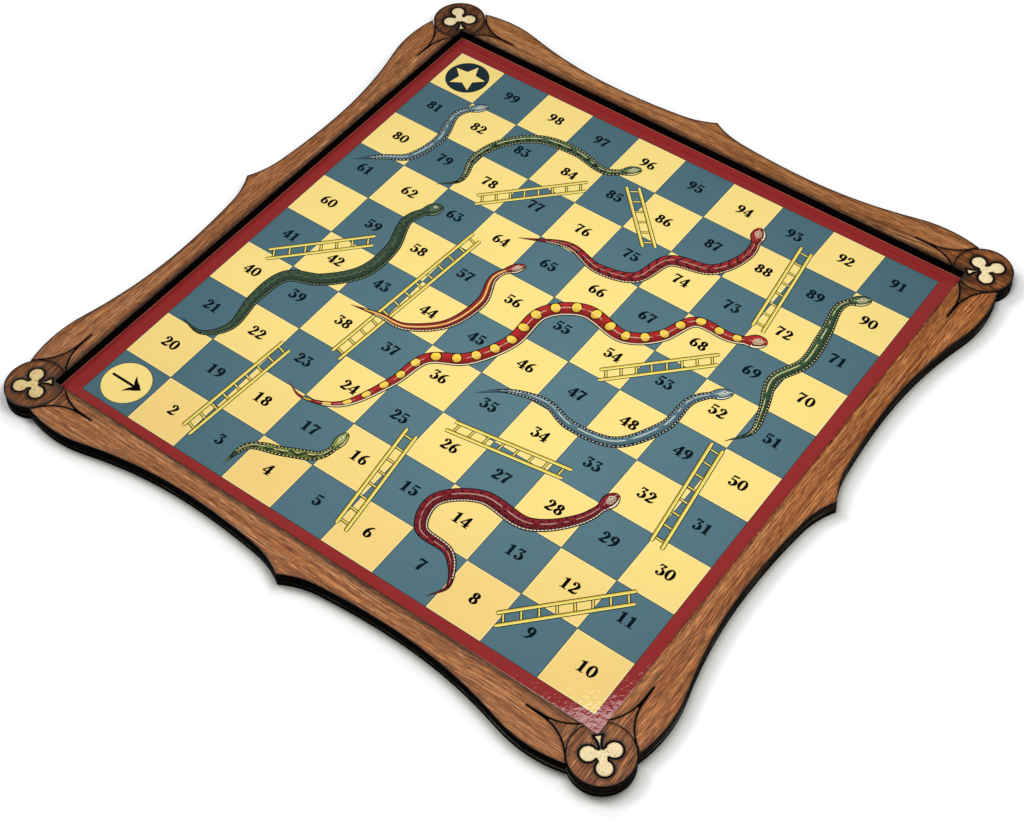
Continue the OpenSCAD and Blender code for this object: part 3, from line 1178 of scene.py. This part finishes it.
def make_frame():
    # each rail: the way of its grain, its random seed, the smoke's reach, its tint and contrast,
    # and how brown its char is
    rails = {
        "front": ("x", 11.0, 2.9, (1.00, 0.92, 0.73), 1.95, 0.2),
        "right": ("y", 23.0, 0.8, (1.03, 0.88, 0.60), 2.25, 4.2),
        "back": ("x", 37.0, 3.2, (1.07, 1.06, 0.87), 1.95, 0.4),
        "left": ("y", 53.0, 3.3, (0.97, 0.92, 0.80), 1.95, 0.4),
    }
    for side, (lengthwise, seed, reach, tint, contrast, brown) in rails.items():
        paint = rail_paint("stained_rail_" + side, lengthwise, seed, reach, tint, contrast)
        char = char_paint("charred_rail_" + side, seed, brown)
        softened("rail_" + side, "frame_rail_" + side, paint, char, RAIL_EDGE)
    # each corner: grain, seed, reach, tint, how bright its horns are, its soot and how brown its char is,
    # and then its club's tint and how much of that is toasted
    corners = {
        "front_left": ("y", 61.0, 5.0, (0.485, 0.39, 0.22), (1.5, 0.88), 0.55, 0.3, (0.86, 0.83, 0.67), 0.6),
        "front_right": ("y", 73.0, 1.5, (0.67, 0.55, 0.38), (0.82, 1.14), 0.1, 2.0, (1.04, 1.03, 0.99), 0.4),
        "back_right": ("x", 89.0, 6.0, (0.60, 0.47, 0.28), (1.2, 0.8), 0.52, 1.2, (1.05, 1.05, 1.02), 0.25),
        "back_left": ("y", 97.0, 4.6, (0.33, 0.275, 0.17), (0.9, 2.0), 0.58, 0.4, (0.94, 0.92, 0.89), 0.25),
    }
    toasted = char_paint("charred_inlay", 5.0, 1.0)
    for corner, (lengthwise, seed, reach, tint, horns, soot, brown, *club) in corners.items():
        inlay = club_paint(corner, seed, *club)
        paint = corner_paint("stained_corner_" + corner, lengthwise, seed, reach, tint, horns, soot)
        char = char_paint("charred_corner_" + corner, seed, brown)
        softened("corner_" + corner, "frame_corner_" + corner, paint, char, CORNER_EDGE)
        softened("club_" + corner, "inlay_club_" + corner, inlay, toasted, CLUB_EDGE)
    sooty = char_paint("charred_base", 31.0, 1.0)
    softened("base_panel", "backing_panel", base_paint(), sooty, BASE_EDGE, BASE_TOP)


# Camera, light and floor

def make_camera():
    """The camera that took the photo. Returns its place."""
    data = bpy.data.cameras.new("view")
    data.sensor_fit = "HORIZONTAL"
    data.sensor_width = SENSOR
    data.lens = FOCAL_PIXELS / PICTURE_W * SENSOR
    data.clip_start = 0.01
    data.clip_end = 50
    camera = placed(data)
    turn = Matrix.Rotation(AZIMUTH, 4, "Z") @ Matrix.Rotation(pi / 2 - ELEVATION, 4, "X")
    place = (TARGET + turn @ Vector((0, 0, DISTANCE))) * MM
    camera.matrix_world = Matrix.Translation(place) @ turn @ Matrix.Rotation(ROLL, 4, "Z")
    bpy.context.scene.camera = camera
    return place


# Each lamp: where its mirror image lies, how far the lamp is from there, its size and its level.
# The key's image is a glare in the sheet's near corner, and the left lamp's lies on the table in front
# of the board. Places and sizes are in metres.
LAMPS = {
    "key": ((0.1720, -0.1750, 0.0), 0.47, 0.25, 0.64),
    "left": ((-0.063, -0.243, 0.0), 0.98, 0.30, 0.22),
}
SKY = 0.27
FLOOR_HALF = 3.0


def make_lamp(name, eye, seen_at, far, size, level):
    """A round soft lamp. level is how much light it throws on the board's middle."""
    seen_at = Vector(seen_at)
    to_eye = (eye - seen_at).normalized()
    place = seen_at + Vector((-to_eye.x, -to_eye.y, to_eye.z)) * far
    data = bpy.data.lights.new(name, "AREA")
    data.shape = "DISK"
    data.size = size
    data.energy = pi ** 2 * level * place.length ** 3 / place.z
    lamp = placed(data)
    lamp.location = place
    lamp.rotation_euler = place.to_track_quat("Z", "Y").to_euler()


def make_sky():
    """A pale sky, which the camera sees as white."""
    world = bpy.data.worlds.new("sky")
    bpy.context.scene.world = world
    world.use_nodes = True
    shade = world.node_tree.nodes["Background"]
    seen = shader_node(world.node_tree, "LightPath", "Is Camera Ray")
    feed(shade.inputs["Strength"], choose(seen, 1.0, SKY))
    shade.inputs["Color"].default_value = (1.0, 0.99, 0.98, 1.0)


def make_floor():
    """A white table top, which the camera sees lighter away from the board's soft shadow."""
    paint = Paint("white_table")
    side, out = folded(paint)
    away = least(-1.0 * to_outline(side, out), from_circle(side, out, DISC, DISC_R))
    seen = shader_node(paint.tree, "LightPath", "Is Camera Ray")
    glow = (smooth(away, 2.5, 9.0) * 0.08 + smooth(out - HALF_W, -4.0, 60.0)) * seen
    feed(paint.shader.inputs["Emission Strength"], glow)
    paint.shader.inputs["Emission Color"].default_value = (1.0, 1.0, 1.0, 1.0)
    # a darker line of shade close beside the two near sides, where the board meets the table
    beside = fading(away, 1.0, 5.5) * smooth(paint.x - paint.y, 5.0, 40.0) * 0.26
    white = mix(beside, (0.98, 0.98, 0.98, 1.0), (0.16, 0.17, 0.0, 1.0))
    paint.colour = mix(seen, (0.85, 0.85, 0.85, 1.0), white)
    corners = [(x * FLOOR_HALF, y * FLOOR_HALF, 0) for x, y in ((-1, -1), (1, -1), (1, 1), (-1, 1))]
    material = paint.finish(1.0, specular=0.0)
    floor = placed(new_mesh("table_top", corners, [(0, 1, 2, 3)], material))


eye = make_camera()
for name, lamp in LAMPS.items():
    make_lamp(name, eye, *lamp)
make_sky()
make_floor()
make_frame()
bpy.data.objects["play_sheet"].data.materials[0] = sheet_paint()
figures = make_ladders() + make_snakes()
make_numbers(figures)
make_marks()

bpy.context.scene.view_settings.view_transform = "Standard"
